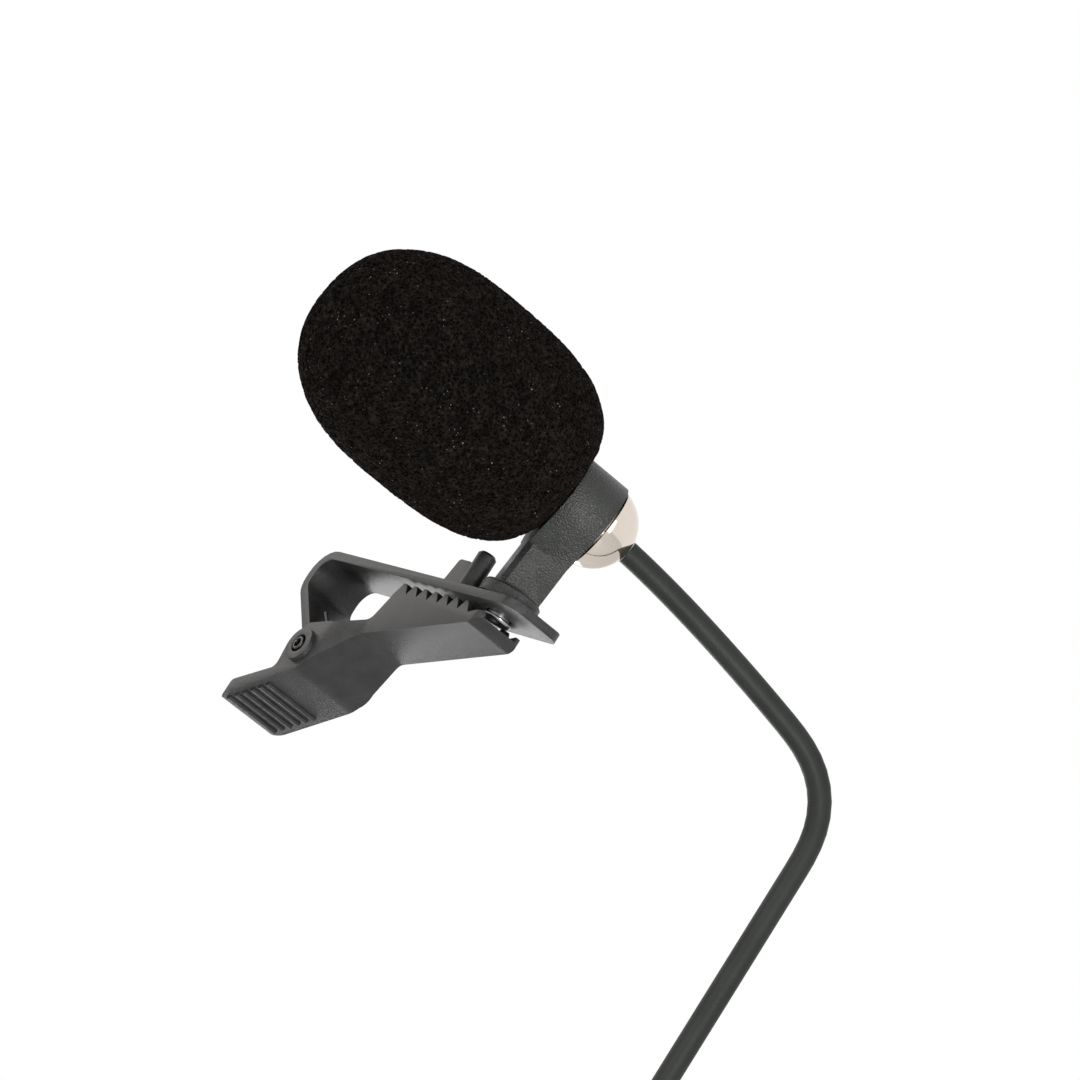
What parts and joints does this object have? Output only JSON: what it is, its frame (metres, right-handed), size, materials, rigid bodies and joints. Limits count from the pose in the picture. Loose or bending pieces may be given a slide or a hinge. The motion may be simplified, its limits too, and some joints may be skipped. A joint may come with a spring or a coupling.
{
  "type": "lavalier microphone",
  "caption": "Clip-on microphone with an oval foam windscreen, a swivelling ring holder on a toothed spring clip, a polished rear dome and a thin coiled cable with a plug.",
  "frame": {"origin": "middle of the clip's gripping face, on the underside of the upper lever's plate, where the clip hangs on the edge of a garment", "axes": "+X along the plate to the mouth of the clip, +Y across the clip to the side where the cable leaves, +Z square to the plate and along the swivel axis"},
  "size_m": [0.0702, 0.0707, 0.144],
  "materials": {
    "clip_plastic": "fine satin texture, charcoal grey",
    "holder_plastic": "fine satin texture, charcoal grey",
    "steel": "plain steel",
    "foam": "open-cell foam, near black",
    "black_metal": "black satin coating",
    "felt": "black felt",
    "soft_rubber": "matt black rubber",
    "aluminium": "plain aluminium",
    "gold_foil": "metal-coated film on a ring",
    "brass": "plated brass",
    "insulator": "black moulded plastic",
    "circuit_board": "green board",
    "polished_metal": "warm polished metal",
    "signal_insulation": "red insulation",
    "ground_insulation": "black insulation",
    "cable_jacket": "satin black jacket"
  },
  "bodies": {
    "clip_upper": {"upper_lever": "clip_plastic", "pivot_pin": "steel", "torsion_spring": "steel"},
    "clip_lower": {"lower_lever": "clip_plastic"},
    "microphone": {"ring_holder": "holder_plastic", "swivel_rivet": "steel", "barrel": "black_metal", "front_grille": "black_metal", "dust_screen": "felt", "capsule_gasket": "soft_rubber", "capsule_can": "aluminium", "diaphragm": "gold_foil", "back_plate": "brass", "back_chamber": "insulator", "capsule_board": "circuit_board", "rear_dome": "polished_metal", "crimp_ferrule": "brass", "signal_wire": "signal_insulation", "ground_wire": "ground_insulation", "cable_run": "cable_jacket", "cable_coil": "cable_jacket", "cable_tail": "cable_jacket", "coil_tie": "soft_rubber", "plug_boot": "soft_rubber", "plug_shell": "aluminium", "plug_sleeve": "brass", "plug_band_1": "insulator", "plug_ring_contact": "brass", "plug_band_2": "insulator", "plug_tip": "brass"},
    "foam": {"windscreen": "foam"}
  },
  "joints": [
    {"name": "jaw_hinge", "type": "hinge", "parent": "clip_upper", "child": "clip_lower", "pos_m": [-0.0153, 0, -0.0105], "axis": [0, 1, 0], "range_deg": [0, 22], "stiffness_Nm_per_rad": 0.02, "springref_deg": -28.65},
    {"name": "holder_swivel", "type": "hinge", "parent": "clip_upper", "child": "microphone", "pos_m": [0.0077, 0, 0], "axis": [0, 0, 1], "range_deg": [-180, 180]},
    {"name": "windscreen_slide", "type": "slide", "parent": "microphone", "child": "foam", "axis": [-0.3407, -0.9361, 0.0872], "range_m": [0, 0.014]}
  ]
}
